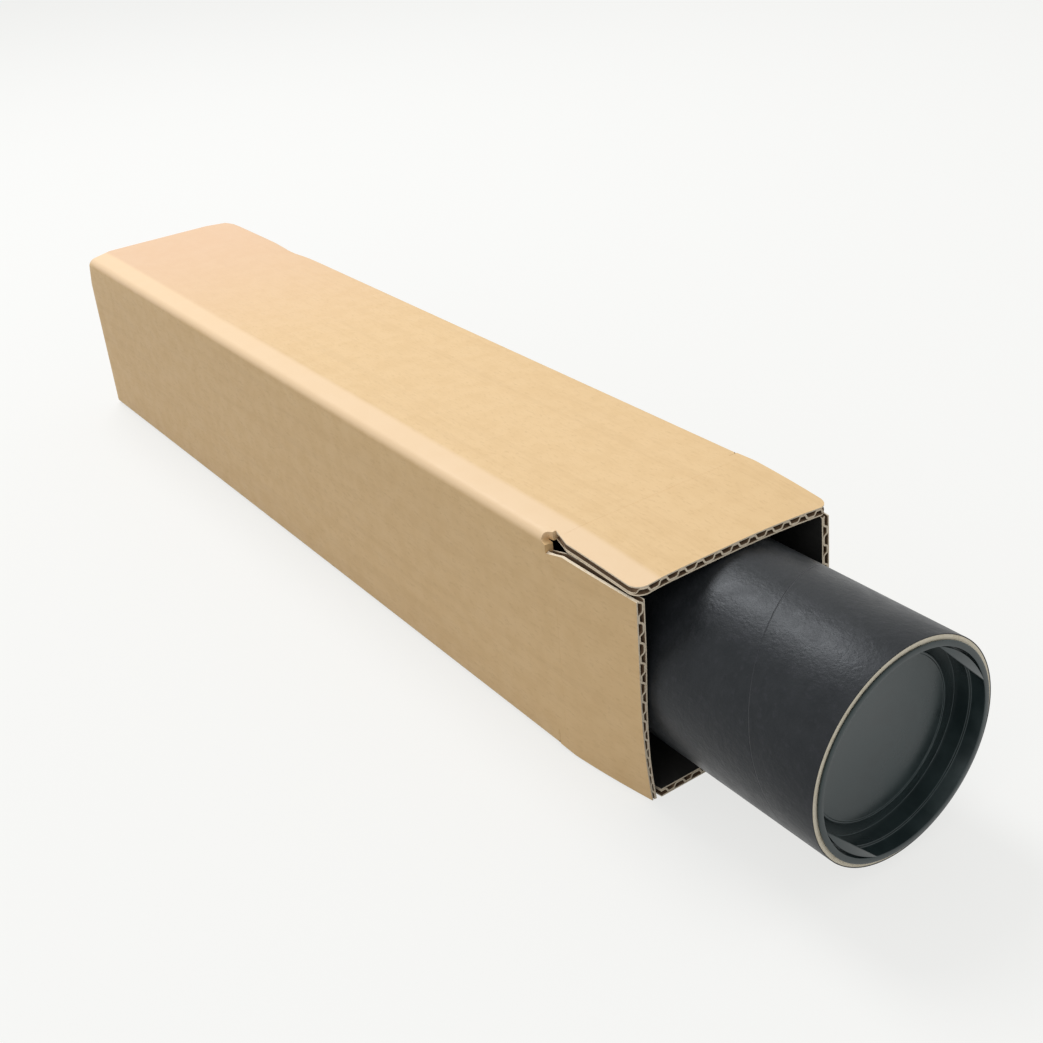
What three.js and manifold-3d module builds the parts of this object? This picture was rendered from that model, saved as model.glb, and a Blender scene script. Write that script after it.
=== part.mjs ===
// A mailing tube in its shipping carton. The carton is one folded sheet of single-wall corrugated
// board. Its far end is glued shut and its near end stands open, with four flaps unfolded straight
// ahead. The black board tube is drawn part of the way out, with a plastic plug in each end.
// Millimetres. X runs along the pack, its open end towards +X. The seen side faces -Y. Z is up.

import * as THREE from 'three';
import { mergeVertices } from 'three/addons/utils/BufferGeometryUtils.js';
import Module from 'manifold-3d';

// Carton
const cartonWidth = 90;
const cartonHeight = 90;
const bodyLength = 440;
const flapLength = 46;
const boardThickness = 3.5;
const linerThickness = 0.42;
const mediumThickness = 0.42;
const flutePitch = 7.8;
const foldRadius = 2.4;
const endSeamWidth = 1.0;
const endFlapInset = 1.4;

// Slots between the flaps, and the crease that each flap turns on
const creaseGap = 0.3;
const slotClearance = 0.6;
const slotRootWidth = 2.6;
const slotRootLength = 9;
const notchRadius = 2.2;

// How far the open flaps curl inwards at their front edge, in the middle and more at the corners
const curlMiddle = 1.9;
const curlCorner = 2.2;
const farFlapCurlCorner = 1.6;

// The panel is pressed down along one edge, where the glued lap of the sheet lies under it
const lapWidth = 14;
const lapDrop = 0.9;

// Tube
const tubeBore = 76;
const tubeWall = 2.2;
const tubeLength = 418;
const tubeDrawnOut = 121;
const tubeEdgeRadius = 0.45;
const restGap = 0.3;

// Plugs
const plugClearance = 0.3;
const plugDepth = 12.5;
const plugRim = 1.4;
const plugFloor = 1.5;
const plugDraft = 0.6;
const plugStepDepth = 5;
const plugStepWidth = 1.0;
const plugFloorRing = 30;
const plugFloorRingWidth = 1.0;
const plugFloorRingHeight = 0.5;
const tabThickness = 1.2;
const tabDepth = 3.9;
const tabSlit = 1.0;
const tabAngle = 45;

const TUBE_SEGMENTS = 72;
const CURL_STEPS = 4;
const CURL_STRIPS = 12;
const FLUTE_ARCH_POINTS = 6;
const FLUTE_ARCH_REACH = 0.4;
const CUT_MARGIN = 1;
const RIGHT_ANGLE = Math.PI / 2;

// Sizes that follow from the ones above
const halfWidth = cartonWidth / 2;
const halfHeight = cartonHeight / 2;
const tubeRadius = tubeBore / 2 + tubeWall;
const endWallThickness = 2 * boardThickness;
const tubeCentreY = halfWidth - boardThickness - restGap - tubeRadius;
const tubeCentreZ = boardThickness + restGap + tubeRadius;
const plugRadius = tubeBore / 2 - plugClearance;
const bodyFront = -creaseGap / 2;
const flapRoot = creaseGap / 2;

const wasm = await Module();
wasm.setup();

// Turns a three.js geometry into a solid, with shared corners merged and flat slivers left out.
function solidOf(geometry) {
  const bare = geometry.clone();
  bare.deleteAttribute('normal');
  bare.deleteAttribute('uv');
  const merged = mergeVertices(bare, 1e-4);
  const corners = merged.index.array;
  const triangles = [];
  for (let i = 0; i < corners.length; i += 3) {
    const [a, b, c] = [corners[i], corners[i + 1], corners[i + 2]];
    if (a !== b && b !== c && c !== a) triangles.push(a, b, c);
  }
  return new wasm.Manifold(new wasm.Mesh({
    numProp: 3,
    vertProperties: Float32Array.from(merged.attributes.position.array),
    triVerts: Uint32Array.from(triangles),
  }));
}

function geometryOf(solid) {
  const mesh = solid.getMesh();
  const geometry = new THREE.BufferGeometry();
  geometry.setAttribute('position', new THREE.BufferAttribute(mesh.vertProperties, 3));
  geometry.setIndex(new THREE.BufferAttribute(mesh.triVerts, 1));
  geometry.computeVertexNormals();
  return geometry;
}

function box(fromX, toX, fromY, toY, fromZ, toZ) {
  const geometry = new THREE.BoxGeometry(toX - fromX, toY - fromY, toZ - fromZ);
  geometry.translate((fromX + toX) / 2, (fromY + toY) / 2, (fromZ + toZ) / 2);
  return solidOf(geometry);
}

// Revolves a closed outline of [radius, x] points about the X axis.
function revolve(outline) {
  const points = outline.map(([radius, x]) => new THREE.Vector2(radius, x));
  const geometry = new THREE.LatheGeometry(points, TUBE_SEGMENTS);
  geometry.rotateZ(-RIGHT_ANGLE);
  return solidOf(geometry);
}

// Extrudes a shape drawn in Y and Z along X.
function extrudeAlongX(shape, fromX, toX, steps = 1) {
  const geometry = new THREE.ExtrudeGeometry(shape, { depth: toX - fromX, steps, bevelEnabled: false });
  geometry.rotateX(RIGHT_ANGLE);
  geometry.rotateZ(RIGHT_ANGLE);
  geometry.translate(fromX, 0, 0);
  return geometry;
}

function roundedRectangle(halfY, halfZ, radius) {
  const shape = new THREE.Shape();
  shape.moveTo(halfY, halfZ - radius);
  shape.absarc(halfY - radius, halfZ - radius, radius, 0, RIGHT_ANGLE);
  shape.absarc(radius - halfY, halfZ - radius, radius, RIGHT_ANGLE, 2 * RIGHT_ANGLE);
  shape.absarc(radius - halfY, radius - halfZ, radius, 2 * RIGHT_ANGLE, 3 * RIGHT_ANGLE);
  shape.absarc(halfY - radius, radius - halfZ, radius, 3 * RIGHT_ANGLE, 4 * RIGHT_ANGLE);
  return shape;
}

// The wedge that the pressed edge of the top panel loses.
function lapWedge() {
  const shape = new THREE.Shape();
  shape.moveTo(-halfWidth - CUT_MARGIN, halfHeight + CUT_MARGIN);
  shape.lineTo(-halfWidth - CUT_MARGIN, halfHeight - lapDrop * (1 + CUT_MARGIN / lapWidth));
  shape.lineTo(lapWidth - halfWidth, halfHeight);
  shape.lineTo(lapWidth - halfWidth, halfHeight + CUT_MARGIN);
  return solidOf(extrudeAlongX(shape, -bodyLength - CUT_MARGIN, CUT_MARGIN));
}

// The square sleeve with its far end folded shut: two flaps inside, and two outside that meet.
function cartonBody() {
  const outside = roundedRectangle(halfWidth, halfHeight, foldRadius);
  const innerHalfWidth = halfWidth - boardThickness;
  const innerHalfHeight = halfHeight - boardThickness;
  const farEnd = -bodyLength;
  const outerFlap = farEnd + boardThickness;
  let body = solidOf(extrudeAlongX(outside, farEnd, bodyFront));
  const cavity = box(farEnd + endWallThickness, CUT_MARGIN,
    -innerHalfWidth, innerHalfWidth, -innerHalfHeight, innerHalfHeight);
  const seam = box(farEnd - CUT_MARGIN, outerFlap,
    -halfWidth - CUT_MARGIN, halfWidth + CUT_MARGIN, -endSeamWidth / 2, endSeamWidth / 2);
  body = body.subtract(cavity).subtract(seam).subtract(lapWedge());
  for (const side of [-1, 1]) {
    const outer = side * (halfWidth + CUT_MARGIN);
    const inset = side * (halfWidth - endFlapInset);
    body = body.subtract(box(farEnd - CUT_MARGIN, outerFlap,
      Math.min(outer, inset), Math.max(outer, inset), -halfHeight - CUT_MARGIN, halfHeight + CUT_MARGIN));
    for (const level of [-1, 1]) {
      const notch = new THREE.CylinderGeometry(notchRadius, notchRadius, boardThickness + CUT_MARGIN, 16);
      notch.translate(0, side * (halfWidth - boardThickness / 2 + CUT_MARGIN / 2), level * innerHalfHeight);
      body = body.subtract(solidOf(notch));
    }
  }
  return body;
}

// One arch-shaped channel of the fluting, between the wavy paper and the liner that it stands on.
function fluteChannel(centre, opensDown) {
  const swing = (boardThickness - 2 * linerThickness - mediumThickness) / 2;
  const reach = flutePitch * FLUTE_ARCH_REACH;
  const middle = boardThickness / 2;
  const height = (offset) => middle - mediumThickness / 2 + swing * Math.cos(2 * Math.PI * offset / flutePitch);
  const place = (h) => (opensDown ? h : boardThickness - h);
  const shape = new THREE.Shape();
  shape.moveTo(centre - reach, place(linerThickness));
  for (let i = 1; i < FLUTE_ARCH_POINTS; i += 1) {
    const offset = -reach + 2 * reach * i / FLUTE_ARCH_POINTS;
    shape.lineTo(centre + offset, place(height(offset)));
  }
  shape.lineTo(centre + reach, place(linerThickness));
  return extrudeAlongX(shape, -CUT_MARGIN, flapLength + CUT_MARGIN, CURL_STEPS);
}

// The outline of a flap, cut between its two slots. Each edge says how far it stands from the
// middle at the crease and at the front.
function flapOutline(lower, upper) {
  const along = (edge, x) => edge.atCrease + (edge.atFront - edge.atCrease) * x / flapLength;
  const shape = new THREE.Shape();
  const rootEnd = slotRootLength / 2;
  shape.moveTo(flapRoot, -(lower.atCrease - slotRootWidth));
  shape.quadraticCurveTo(rootEnd, -(lower.atCrease - slotRootWidth), slotRootLength, -along(lower, slotRootLength));
  shape.lineTo(flapLength, -lower.atFront);
  shape.lineTo(flapLength, upper.atFront);
  shape.lineTo(slotRootLength, along(upper, slotRootLength));
  shape.quadraticCurveTo(rootEnd, upper.atCrease - slotRootWidth, flapRoot, upper.atCrease - slotRootWidth);
  const geometry = new THREE.ExtrudeGeometry(shape,
    { depth: boardThickness + 4 * CUT_MARGIN + 8 * curlCorner, bevelEnabled: false, curveSegments: 6 });
  return geometry;
}

// Moves a flat piece of board out to its side of the carton and curls it inwards.
function curled(geometry, reach, curl) {
  const position = geometry.attributes.position;
  for (let i = 0; i < position.count; i += 1) {
    const ahead = Math.max(0, position.getX(i) / flapLength);
    const drop = curl(position.getY(i), ahead);
    position.setZ(i, position.getZ(i) + reach - boardThickness - drop);
  }
  return solidOf(geometry);
}

// A flap on the upper side of the carton: X runs ahead, Y across, and Z is its distance out.
function flap({ reach, lower, upper, curl }) {
  const halfSpan = Math.max(lower.atCrease, upper.atCrease) + CUT_MARGIN;
  const sheet = new THREE.BoxGeometry(flapLength, 2 * halfSpan, boardThickness, CURL_STEPS, CURL_STRIPS, 1);
  sheet.translate(flapLength / 2, 0, boardThickness / 2);
  const outline = flapOutline(lower, upper);
  outline.translate(0, 0, reach - boardThickness - 2 * CUT_MARGIN - 4 * curlCorner);
  let board = curled(sheet, reach, curl).intersect(solidOf(outline));
  const channels = 2 * Math.floor((2 * halfSpan - flutePitch) / flutePitch);
  for (let i = 0; i <= channels; i += 1) {
    const centre = (i - channels / 2) * flutePitch / 2;
    board = board.subtract(curled(fluteChannel(centre, i % 2 === 0), reach, curl));
  }
  return board;
}

function curlAmount(across, halfSpan, ahead, middle, corner) {
  const towardsCorner = Math.min(1, Math.abs(across) / halfSpan);
  return (middle + corner * towardsCorner ** 2.5) * ahead ** 1.5;
}

function topFlap() {
  const edge = halfWidth - slotClearance;
  const curl = (across, ahead) => {
    const lap = Math.max(0, 1 - (across + halfWidth) / lapWidth);
    return curlAmount(across, halfWidth, ahead, curlMiddle, curlCorner) + lapDrop * lap;
  };
  const sides = { atCrease: edge, atFront: edge };
  return flap({ reach: halfHeight, lower: sides, upper: sides, curl });
}

function bottomFlap() {
  const root = halfWidth - boardThickness - slotClearance;
  const nearSide = { atCrease: root, atFront: root - curlMiddle - curlCorner };
  const farSide = { atCrease: root, atFront: root - farFlapCurlCorner };
  return flap({ reach: halfHeight, lower: farSide, upper: nearSide, curl: () => 0 });
}

// The edge of a side flap under the top flap comes lower by as much as the top flap curls down.
function edgeUnderTop(extraDrop) {
  const root = halfHeight - boardThickness - slotClearance - extraDrop;
  return { atCrease: root, atFront: root - curlMiddle - curlCorner };
}

function nearFlap() {
  const bottom = { atCrease: halfHeight - slotClearance, atFront: halfHeight - slotClearance };
  const curl = (across, ahead) => curlAmount(across, halfHeight, ahead, curlMiddle, curlCorner);
  return flap({ reach: halfWidth, lower: bottom, upper: edgeUnderTop(lapDrop), curl });
}

function farFlap() {
  const bottom = { atCrease: halfHeight - slotClearance, atFront: halfHeight - slotClearance };
  const curl = (across, ahead) => curlAmount(across, halfHeight, ahead, 0, farFlapCurlCorner);
  return flap({ reach: halfWidth, lower: edgeUnderTop(0), upper: bottom, curl });
}

// The wound board tube, its front end at x = 0, with the cut edges slightly rounded.
function mailingTube() {
  const bore = tubeBore / 2;
  const edge = tubeEdgeRadius;
  return revolve([
    [bore, 0], [bore, -tubeLength], [tubeRadius - edge, -tubeLength], [tubeRadius, edge - tubeLength],
    [tubeRadius, -edge], [tubeRadius - edge, 0], [bore, 0],
  ]);
}

// A finger tab: a flat segment across the mouth of the plug, with a thin slit between it and the rim.
function fingerTab(turn, mouthRadius) {
  const chordDistance = mouthRadius - tabDepth;
  const halfChord = Math.sqrt(mouthRadius ** 2 - chordDistance ** 2) + plugRim / 2;
  const rise = tabDepth - tabSlit;
  const arcRadius = (halfChord ** 2 + rise ** 2) / (2 * rise);
  const arcCentre = chordDistance + rise - arcRadius;
  const spread = Math.asin(halfChord / arcRadius);
  const shape = new THREE.Shape();
  shape.moveTo(chordDistance, -halfChord);
  shape.absarc(arcCentre, 0, arcRadius, -spread, spread);
  shape.lineTo(chordDistance, halfChord);
  const geometry = new THREE.ExtrudeGeometry(shape,
    { depth: tabThickness, bevelEnabled: false, curveSegments: 16 });
  geometry.rotateZ(THREE.MathUtils.degToRad(turn));
  geometry.rotateX(RIGHT_ANGLE);
  geometry.rotateZ(RIGHT_ANGLE);
  geometry.translate(-tabThickness, 0, 0);
  return solidOf(geometry);
}

// The moulded plug: a deep cup with a stepped wall, a ring on its floor and two finger tabs.
function endPlug() {
  const mouth = plugRadius - plugRim;
  const step = mouth - plugDraft - plugStepWidth;
  const floor = plugFloor - plugDepth;
  const ringOut = plugFloorRing + plugFloorRingWidth / 2;
  const ringIn = plugFloorRing - plugFloorRingWidth / 2;
  const cup = revolve([
    [0, -plugDepth], [plugRadius - plugDraft, -plugDepth], [plugRadius, 0], [mouth, 0],
    [mouth - plugDraft, -plugStepDepth], [step, -plugStepDepth], [step, floor], [ringOut, floor],
    [ringOut, floor + plugFloorRingHeight], [ringIn, floor + plugFloorRingHeight], [ringIn, floor], [0, floor],
  ]);
  return cup.add(fingerTab(tabAngle, mouth)).add(fingerTab(tabAngle + 180, mouth));
}

const kraft = { color: 0xd2ad7b, roughness: 0.85, metalness: 0 };
const blackPaper = { color: 0x26282b, roughness: 0.62, metalness: 0 };
const greyPlastic = { color: 0x4a5152, roughness: 0.4, metalness: 0 };

function meshOf(name, solid, look) {
  const mesh = new THREE.Mesh(geometryOf(solid), new THREE.MeshStandardMaterial(look));
  mesh.name = name;
  return mesh;
}

const carton = new THREE.Group();
carton.position.z = halfHeight;
carton.add(meshOf('carton_body', cartonBody(), kraft));
const flaps = [
  ['flap_top', topFlap(), 0],
  ['flap_bottom', bottomFlap(), 2 * RIGHT_ANGLE],
  ['flap_near', nearFlap(), RIGHT_ANGLE],
  ['flap_far', farFlap(), -RIGHT_ANGLE],
];
for (const [name, solid, turn] of flaps) {
  const mesh = meshOf(name, solid, kraft);
  mesh.rotation.x = turn;
  carton.add(mesh);
}

const tube = new THREE.Group();
tube.position.set(tubeDrawnOut, tubeCentreY, tubeCentreZ);
tube.add(meshOf('mailing_tube', mailingTube(), blackPaper));
tube.add(meshOf('end_plug_front', endPlug(), greyPlastic));
const rearPlug = meshOf('end_plug_rear', endPlug(), greyPlastic);
rearPlug.position.x = -tubeLength;
rearPlug.rotation.z = Math.PI;
tube.add(rearPlug);

// The origin is under the middle of the whole pack.
const pack = new THREE.Group();
pack.position.x = (bodyLength - tubeDrawnOut) / 2;
pack.add(carton, tube);

export default pack;
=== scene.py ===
# A mailing tube drawn part of the way out of its shipping carton, on a plain pale floor.
# The carton is folded corrugated board, the tube is wound board under black paper, and a
# moulded plastic plug closes each end of the tube. Metres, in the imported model's frame.

import math
import bmesh
import bpy
from mathutils import Matrix, Vector


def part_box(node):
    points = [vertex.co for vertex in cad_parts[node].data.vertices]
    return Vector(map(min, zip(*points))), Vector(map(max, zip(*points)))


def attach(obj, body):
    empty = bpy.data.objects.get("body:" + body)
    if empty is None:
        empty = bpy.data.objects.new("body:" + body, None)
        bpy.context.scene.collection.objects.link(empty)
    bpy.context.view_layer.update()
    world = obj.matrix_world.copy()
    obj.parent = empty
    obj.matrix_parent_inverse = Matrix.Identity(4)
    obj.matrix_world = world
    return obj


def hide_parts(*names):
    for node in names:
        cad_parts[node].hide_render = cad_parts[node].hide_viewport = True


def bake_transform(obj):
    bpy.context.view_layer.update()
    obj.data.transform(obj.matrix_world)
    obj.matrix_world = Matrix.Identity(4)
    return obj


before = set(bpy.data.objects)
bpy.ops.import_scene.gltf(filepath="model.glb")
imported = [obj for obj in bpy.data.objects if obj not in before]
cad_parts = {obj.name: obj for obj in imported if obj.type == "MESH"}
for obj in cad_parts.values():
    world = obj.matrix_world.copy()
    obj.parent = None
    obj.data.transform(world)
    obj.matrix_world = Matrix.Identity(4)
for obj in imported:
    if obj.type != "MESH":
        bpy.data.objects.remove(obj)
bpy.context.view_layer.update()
MM = 0.001
# Points nearer than this count as one. A layer inside another has SNUG of its full thickness.
TOUCHING = 1e-6
SNUG = 0.98
FULL_TURN = 2 * math.pi
HALF_TURN = math.pi
QUARTER_TURN = math.pi / 2

# Camera. It stands in front of the open end, on the near side, and looks down along the pack.
# The picture is square, and its lens was found from the carton's corners and the tube's end.

CAMERA_PLACE = Vector((0.50655, -0.2799, 0.3242))
CAMERA_HEADING = math.radians(146.881)
CAMERA_DIP = math.radians(-28.615)
CAMERA_ROLL = math.radians(-5.103)
LENS_MM = 48.89
SENSOR_MM = 36

camera_data = bpy.data.cameras.new("camera")
camera_data.lens = LENS_MM
camera_data.sensor_width = SENSOR_MM
camera_data.clip_start = 0.01
camera = bpy.data.objects.new("camera", camera_data)
camera.matrix_world = (
    Matrix.Translation(CAMERA_PLACE)
    @ Matrix.Rotation(CAMERA_HEADING - QUARTER_TURN, 4, "Z")
    @ Matrix.Rotation(QUARTER_TURN + CAMERA_DIP, 4, "X")
    @ Matrix.Rotation(CAMERA_ROLL, 4, "Z")
)
bpy.context.collection.objects.link(camera)
bpy.context.scene.camera = camera
bpy.context.scene.view_settings.view_transform = "Standard"

# Floor. A wide, plain, pale surface that the pack rests on, seamless to the edge of the view.
# The camera and reflections see it near white with a faint shadow, and it throws back less light
# than it shows, so that the near side darkens towards its lower edge.

FLOOR_SIZE = 40
BACKDROP = (0.93, 0.93, 0.913, 1)
FLOOR_BOUNCE = (0.40, 0.39, 0.37, 1)
FLOOR_OWN_GLOW = 0.78


def new_material(name):
    material = bpy.data.materials.new(name)
    material.use_nodes = True
    nodes = material.node_tree.nodes
    return material, nodes, nodes["Principled BSDF"]


def link(nodes, start, end):
    nodes.id_data.links.new(start, end)


def add_node(nodes, kind, **values):
    node = nodes.new(kind)
    for key, value in values.items():
        setattr(node, key, value)
    return node


def seen_or_mirrored(nodes):
    """1 for rays from the camera and for rays that are reflected or pass through."""
    rays = nodes.new("ShaderNodeLightPath").outputs
    either = add_node(nodes, "ShaderNodeMath", operation="MAXIMUM")
    link(nodes, rays["Is Camera Ray"], either.inputs[0])
    link(nodes, rays["Is Glossy Ray"], either.inputs[1])
    whole = add_node(nodes, "ShaderNodeMath", operation="MAXIMUM")
    link(nodes, either.outputs[0], whole.inputs[0])
    link(nodes, rays["Is Transmission Ray"], whole.inputs[1])
    return whole.outputs[0]


def mix_shader(nodes, factor, first, second):
    mix = nodes.new("ShaderNodeMixShader")
    if isinstance(factor, float):
        mix.inputs[0].default_value = factor
    else:
        link(nodes, factor, mix.inputs[0])
    link(nodes, first, mix.inputs[1])
    link(nodes, second, mix.inputs[2])
    return mix.outputs[0]


def plain_shader(nodes, kind, colour):
    shader = nodes.new(kind)
    shader.inputs["Color"].default_value = colour
    return shader.outputs[0]


floor_bm = bmesh.new()
bmesh.ops.create_grid(floor_bm, x_segments=1, y_segments=1, size=FLOOR_SIZE / 2)
floor_mesh = bpy.data.meshes.new("floor")
floor_bm.to_mesh(floor_mesh)
floor_bm.free()
floor = bpy.data.objects.new("floor", floor_mesh)
bpy.context.collection.objects.link(floor)
floor_material, floor_nodes, unused_shader = new_material("pale_floor")
floor_nodes.remove(unused_shader)
shown = mix_shader(
    floor_nodes, FLOOR_OWN_GLOW,
    plain_shader(floor_nodes, "ShaderNodeBsdfDiffuse", BACKDROP),
    plain_shader(floor_nodes, "ShaderNodeEmission", BACKDROP),
)
bounced = plain_shader(floor_nodes, "ShaderNodeBsdfDiffuse", FLOOR_BOUNCE)
floor_look = mix_shader(floor_nodes, seen_or_mirrored(floor_nodes), bounced, shown)
link(floor_nodes, floor_look, floor_nodes["Material Output"].inputs["Surface"])
floor_mesh.materials.append(floor_material)

# Light. An even pale surround, a soft lamp high beyond the closed end, which lights the top and
# draws the highlight along the tube, and a weak lamp in front of the near side.

SURROUND = (0.97, 0.985, 1.0, 1)
SURROUND_STRENGTH = 0.6
LAMP_AIM = Vector((0.1, 0, 0.05))
LAMP_ABOVE = Vector((-0.97, 0.10, 1.70))
LAMP_ABOVE_SIZE = 0.9
LAMP_ABOVE_WATTS = 20
LAMP_NEAR = Vector((0.9, -1.6, 0.9))
LAMP_NEAR_SIZE = 1.2
LAMP_NEAR_WATTS = 3.4


def area_light(name, place, size, power):
    data = bpy.data.lights.new(name, "AREA")
    data.shape = "DISK"
    data.size = size
    data.energy = power
    lamp = bpy.data.objects.new(name, data)
    lamp.location = place
    lamp.rotation_euler = (LAMP_AIM - place).to_track_quat("-Z", "Y").to_euler()
    bpy.context.collection.objects.link(lamp)


area_light("lamp_above", LAMP_ABOVE, LAMP_ABOVE_SIZE, LAMP_ABOVE_WATTS)
area_light("lamp_near_side", LAMP_NEAR, LAMP_NEAR_SIZE, LAMP_NEAR_WATTS)

world = bpy.data.worlds.new("surround")
world.use_nodes = True
world_nodes = world.node_tree.nodes
lighting = world_nodes["Background"]
lighting.inputs["Color"].default_value = SURROUND
lighting.inputs["Strength"].default_value = SURROUND_STRENGTH
backdrop = plain_shader(world_nodes, "ShaderNodeBackground", BACKDROP)
surround = mix_shader(world_nodes, seen_or_mirrored(world_nodes), lighting.outputs[0], backdrop)
link(world_nodes, surround, world_nodes["World Output"].inputs["Surface"])
bpy.context.scene.world = world

# Carton body. A square sleeve of single-wall corrugated kraft board, about 3.5 mm thick. It is
# folded from one sheet and glued along a lap, which lies pressed under the edge of the top panel
# that faces the near side. The outside is kraft paper and the inside is black.

BOARD = 3.5 * MM
LINER = 0.55 * MM
MEDIUM = 0.7 * MM
FLUTE_PITCH = 7.8 * MM
FOLD_RADIUS = 2.4 * MM
LAP_FOLD_RADIUS = 3.6 * MM
SKIN_SINK = 0.05 * MM
LAP_WIDTH = 14 * MM
LAP_DROP = 0.9 * MM
STRIP = 8 * MM
CREASE_GAP = 0.15 * MM
END_SEAM = 1.0 * MM
END_FLAP_INSET = 1.4 * MM
END_CORNER = 3 * MM
END_FLAP_DROP = 1.5 * MM
END_STEP = 0.5 * MM
KRAFT = (0.79, 0.545, 0.275, 1)
KRAFT_DARK = (0.70, 0.468, 0.225, 1)
# Painted sheen and light: the lap band along the near top edge is painted paler, for the light its slope
# catches.
KRAFT_LAP_SHEEN = (0.86, 0.625, 0.385, 1)
# Painted reflection: towards the closed end the top is painted rosier, for the pale surround glancing off
# it.
KRAFT_FAR_REFLECTION = (0.775, 0.515, 0.335, 1)
FAR_REFLECTION_REACH = 260 * MM
FAR_REFLECTION_SHARE = 0.8
TOP_FADE_LOW = 4.5 * MM
TOP_FADE_HIGH = 2 * MM
LAP_SHEEN_SHARE = 0.9
BAND_FADE = 3 * MM
PAPER_FIBRE_SCALE = 900.0
PAPER_STRETCH = 3.0
PAPER_BUMP = 0.18
PAPER_BUMP_DEPTH = 0.2 * MM
# Partly the pale colour of cut paper and partly painted light: the cut edges face the open end, where
# little lamp light falls, and are painted brighter for it.
PAPER_CUT_LIT = (0.93, 0.81, 0.63, 1)
PAPER_CUT_LIT_DARK = (0.72, 0.57, 0.39, 1)
# Partly the medium's own brown and partly painted shade: the wavy paper and the liners' hidden faces are
# painted dark for the shade in the flute hollows.
FLUTING_SHADED = (0.21, 0.13, 0.072, 1)
FLUTING_SHADED_DARK = (0.13, 0.078, 0.042, 1)
INSIDE_BLACK = (0.034, 0.033, 0.031, 1)
INSIDE_BLACK_WORN = (0.048, 0.046, 0.043, 1)

body_low, body_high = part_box("carton_body")
crease_x = body_high.x + CREASE_GAP


def start_group(name, inputs, outputs):
    group = bpy.data.node_groups.new(name, "ShaderNodeTree")
    for label, kind, value in inputs:
        socket = group.interface.new_socket(label, in_out="INPUT", socket_type=kind)
        if value is not None:
            socket.default_value = value
    for label, kind in outputs:
        group.interface.new_socket(label, in_out="OUTPUT", socket_type=kind)
    nodes = group.nodes
    return group, nodes, nodes.new("NodeGroupInput"), nodes.new("NodeGroupOutput")


def paper_group():
    """Paper: cloudy formation, fine fibres and specks, as a colour mask and a height."""
    group, nodes, given, out = start_group(
        "paper_formation",
        [("Vector", "NodeSocketVector", None), ("Cloud Scale", "NodeSocketFloat", 60.0),
         ("Fibre Scale", "NodeSocketFloat", 900.0), ("Stretch", "NodeSocketFloat", 3.0)],
        [("Mottle", "NodeSocketFloat"), ("Fibre", "NodeSocketFloat"), ("Height", "NodeSocketFloat")],
    )
    cloud = add_node(nodes, "ShaderNodeTexNoise")
    cloud.inputs["Detail"].default_value = 5
    link(nodes, given.outputs["Vector"], cloud.inputs["Vector"])
    link(nodes, given.outputs["Cloud Scale"], cloud.inputs["Scale"])
    squeeze = add_node(nodes, "ShaderNodeCombineXYZ")
    shrink = add_node(nodes, "ShaderNodeMath", operation="DIVIDE")
    shrink.inputs[0].default_value = 1.0
    link(nodes, given.outputs["Stretch"], shrink.inputs[1])
    link(nodes, shrink.outputs[0], squeeze.inputs["X"])
    squeeze.inputs["Y"].default_value = 1.0
    squeeze.inputs["Z"].default_value = 1.0
    along = add_node(nodes, "ShaderNodeVectorMath", operation="MULTIPLY")
    link(nodes, given.outputs["Vector"], along.inputs[0])
    link(nodes, squeeze.outputs[0], along.inputs[1])
    fibre = add_node(nodes, "ShaderNodeTexNoise")
    fibre.inputs["Detail"].default_value = 4
    fibre.inputs["Roughness"].default_value = 0.65
    link(nodes, along.outputs[0], fibre.inputs["Vector"])
    link(nodes, given.outputs["Fibre Scale"], fibre.inputs["Scale"])
    height = add_node(nodes, "ShaderNodeMath", operation="MULTIPLY_ADD")
    height.inputs[1].default_value = 0.35
    link(nodes, cloud.outputs[0], height.inputs[0])
    link(nodes, fibre.outputs[0], height.inputs[2])
    link(nodes, cloud.outputs[0], out.inputs["Mottle"])
    link(nodes, fibre.outputs[0], out.inputs["Fibre"])
    link(nodes, height.outputs[0], out.inputs["Height"])
    return group


PAPER = paper_group()


def place_group(nodes, group, coordinates, **values):
    node = nodes.new("ShaderNodeGroup")
    node.node_tree = group
    link(nodes, coordinates, node.inputs["Vector"])
    for key, value in values.items():
        node.inputs[key.replace("_", " ")].default_value = value
    return node


def mix_colour(nodes, factor, first, second):
    mix = add_node(nodes, "ShaderNodeMix", data_type="RGBA")
    for socket, value in ((mix.inputs[6], first), (mix.inputs[7], second)):
        if isinstance(value, tuple):
            socket.default_value = value
        else:
            link(nodes, value, socket)
    link(nodes, factor, mix.inputs[0])
    return mix.outputs[2]


def remap(nodes, value, low, high, to_low=0.0, to_high=1.0):
    node = add_node(nodes, "ShaderNodeMapRange", interpolation_type="SMOOTHSTEP")
    link(nodes, value, node.inputs["Value"])
    node.inputs["From Min"].default_value = low
    node.inputs["From Max"].default_value = high
    node.inputs["To Min"].default_value = to_low
    node.inputs["To Max"].default_value = to_high
    return node.outputs[0]


def bump_from(nodes, height, strength, distance, shader):
    bump = add_node(nodes, "ShaderNodeBump")
    bump.inputs["Strength"].default_value = strength
    bump.inputs["Distance"].default_value = distance
    link(nodes, height, bump.inputs["Height"])
    link(nodes, bump.outputs[0], shader.inputs["Normal"])


def weighted_sum(nodes, value, weight, other):
    node = add_node(nodes, "ShaderNodeMath", operation="MULTIPLY_ADD")
    node.inputs[1].default_value = weight
    link(nodes, value, node.inputs[0])
    link(nodes, other, node.inputs[2])
    return node.outputs[0]


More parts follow.
